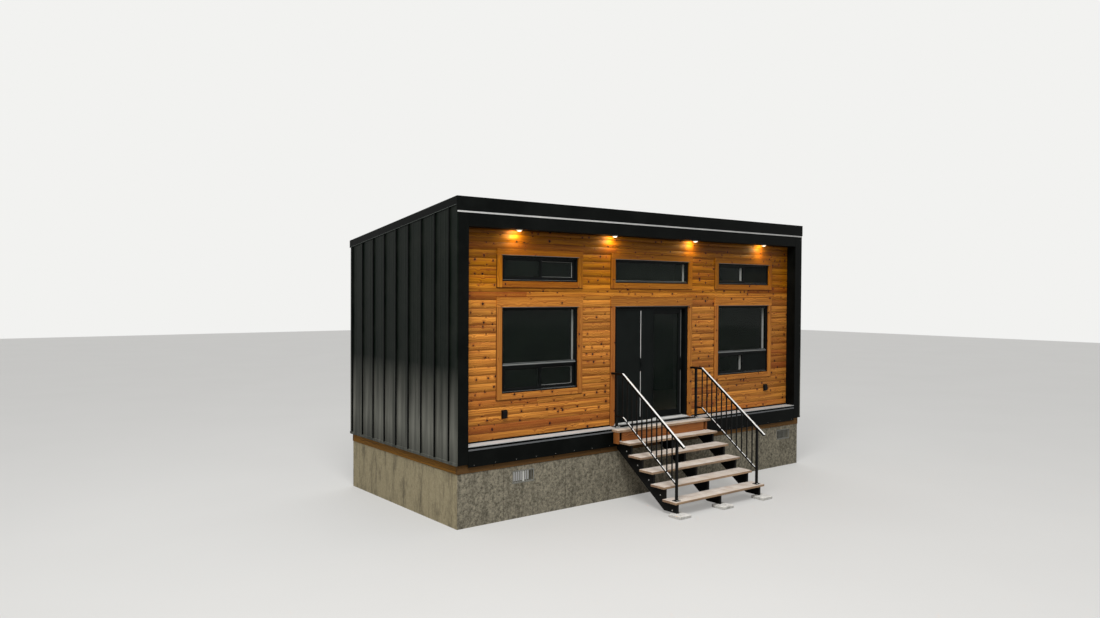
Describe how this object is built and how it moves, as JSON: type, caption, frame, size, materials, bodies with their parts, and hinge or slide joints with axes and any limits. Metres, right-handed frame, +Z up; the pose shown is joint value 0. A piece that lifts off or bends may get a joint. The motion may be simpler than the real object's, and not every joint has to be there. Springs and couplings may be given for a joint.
{
  "type": "tiny house",
  "caption": "Flat black metal-clad tiny house with a recessed cedar front wall, windows, a sliding patio door and a stair with railings.",
  "frame": {"origin": "middle of the object's base on the ground, halfway between the stair's front and the rear roof edge", "axes": "+X to the right seen from the front, +Y from the front to the rear, +Z up"},
  "size_m": [8.33, 5.192, 4.889],
  "materials": {
    "concrete": "matte",
    "vent_metal": "satin",
    "stained_board": "matte",
    "lining": "matte",
    "floor": "satin",
    "side_metal": "satin",
    "black_metal": "satin",
    "roof_metal": "satin",
    "cedar": "satin",
    "pale_metal": "satin",
    "window_frame": "satin",
    "glass": "clear",
    "lens": "gloss",
    "black_plastic": "matte",
    "tread_wood": "matte",
    "stringer_paint": "satin",
    "rail_metal": "satin",
    "paver": "matte"
  },
  "bodies": {
    "house": {"foundation": "concrete", "foundation_vents": "vent_metal", "rim_board": "stained_board", "floor": "floor", "left_wall": "lining", "right_wall": "lining", "back_wall": "lining", "left_cladding": "side_metal", "right_cladding": "side_metal", "back_cladding": "side_metal", "front_wall_left": "lining", "front_wall_right": "lining", "front_wall_over_door": "lining", "front_siding": "cedar", "left_fin": "black_metal", "right_fin": "black_metal", "header": "black_metal", "soffit": "black_metal", "bottom_beam": "black_metal", "ledge": "pale_metal", "light_flashings": "pale_metal", "roof": "lining", "roof_cladding": "roof_metal", "roof_edge_trim": "black_metal", "soffit_lights": "lens", "window_left": "window_frame", "window_right": "window_frame", "transoms": "window_frame", "window_glass": "glass", "left_trims": "cedar", "right_trims": "cedar", "door_trims": "cedar", "door_frame": "window_frame", "door_fixed_panel": "window_frame", "outlets": "black_plastic", "landing": "tread_wood", "landing_box": "cedar", "treads": "tread_wood", "stringers": "stringer_paint", "stair_pads": "paver", "left_rail": "rail_metal", "right_rail": "rail_metal"},
    "sliding_door": {"door_sliding_panel": "window_frame", "door_sliding_glass": "glass", "door_handle": "black_metal"}
  },
  "joints": [
    {"name": "door_slide", "type": "slide", "parent": "house", "child": "sliding_door", "axis": [-1, 0, 0], "range_m": [-0.038, 0.66]}
  ]
}
